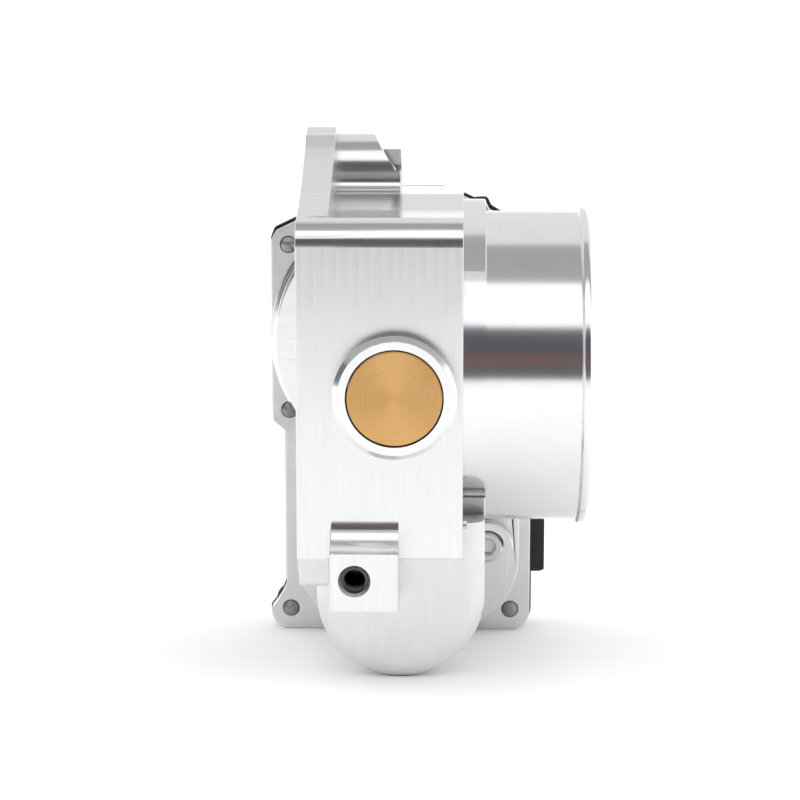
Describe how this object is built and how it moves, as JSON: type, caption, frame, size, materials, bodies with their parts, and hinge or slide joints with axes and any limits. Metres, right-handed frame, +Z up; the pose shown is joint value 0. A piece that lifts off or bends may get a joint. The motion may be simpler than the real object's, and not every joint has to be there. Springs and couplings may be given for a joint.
{
  "type": "throttle body",
  "caption": "Billet drive-by-wire throttle body: round bore with hose spigot, four-bolt flange, plugged shaft boss, motor barrel, gear case and black cover with socket.",
  "frame": {"origin": "centre of the footprint at the lowest edge of the gear cover", "axes": "+X along the bore to the hose spigot, +Y along the throttle shaft to the gears, +Z up"},
  "size_m": [0.0828, 0.1248, 0.1397],
  "materials": {
    "machined_aluminium": "machined, bright satin",
    "cast_aluminium": "machined, fine satin",
    "bronze": "fine-turned bronze",
    "stainless_steel": "bright stainless fasteners",
    "spring_steel": "oiled spring steel",
    "brass": "plain brass",
    "copper": "copper, drawn and stamped",
    "black_plastic": "moulded glass-filled black plastic",
    "natural_plastic": "moulded natural gear plastic",
    "black_rubber": "moulded black rubber",
    "ferrite": "sintered ferrite magnet",
    "circuit_board": "green solder mask on a board"
  },
  "bodies": {
    "housing": {"throttle_housing": "machined_aluminium", "gear_case": "cast_aluminium", "cover_gasket": "black_rubber", "gear_cover": "black_plastic", "connector_shell": "black_plastic", "terminal_pin_1": "brass", "terminal_pin_2": "brass", "terminal_pin_3": "brass", "terminal_pin_4": "brass", "terminal_pin_5": "brass", "terminal_pin_6": "brass", "cover_screw_1": "stainless_steel", "cover_screw_2": "stainless_steel", "cover_screw_3": "stainless_steel", "cover_screw_4": "stainless_steel", "cover_screw_5": "stainless_steel", "cover_screw_6": "stainless_steel", "case_screw_1": "stainless_steel", "case_screw_2": "stainless_steel", "case_screw_3": "stainless_steel", "case_screw_4": "stainless_steel", "front_bearing": "stainless_steel", "rear_bearing": "stainless_steel", "front_shaft_seal": "black_rubber", "rear_shaft_seal": "black_rubber", "bearing_circlip": "spring_steel", "end_plug": "bronze", "flange_o_ring": "black_rubber", "stop_pin": "stainless_steel", "return_spring": "spring_steel", "intermediate_pin": "stainless_steel", "motor_can": "stainless_steel", "motor_flange": "stainless_steel", "front_motor_bush": "bronze", "rear_motor_bush": "bronze", "motor_magnet_1": "ferrite", "motor_magnet_2": "ferrite", "motor_wave_washer": "spring_steel", "motor_screw_1": "stainless_steel", "motor_screw_2": "stainless_steel", "motor_terminal_1": "copper", "motor_terminal_2": "copper", "sensor_board": "circuit_board", "sensor_chip": "black_plastic"},
    "throttle": {"throttle_shaft": "stainless_steel", "throttle_plate": "brass", "plate_screw_1": "stainless_steel", "plate_screw_2": "stainless_steel", "spring_bush": "natural_plastic", "sector_gear": "natural_plastic", "gear_nut": "stainless_steel", "position_magnet": "ferrite"},
    "idler": {"intermediate_gear": "natural_plastic"},
    "rotor": {"armature_core": "copper", "commutator": "copper", "motor_shaft": "stainless_steel", "motor_pinion": "brass"}
  },
  "joints": [
    {"name": "throttle_turn", "type": "hinge", "parent": "housing", "child": "throttle", "pos_m": [-0.00475, -0.01095, 0.0813], "axis": [0, 1, 0], "range_deg": [-7, 83], "stiffness_Nm_per_rad": 0.15},
    {"name": "idler_spin", "type": "hinge", "parent": "housing", "child": "idler", "pos_m": [-0.01047, 0.04905, 0.04942], "axis": [0, 1, 0], "range_deg": [-367, 33]},
    {"name": "rotor_spin", "type": "hinge", "parent": "housing", "child": "rotor", "pos_m": [-0.00376, -0.01095, 0.0289], "axis": [0, 1, 0], "range_deg": [-112, 1284]}
  ],
  "couplings": [
    {"joint": "idler_spin", "follows": "throttle_turn", "ratio": -4.4},
    {"joint": "rotor_spin", "follows": "throttle_turn", "ratio": 15.4}
  ]
}
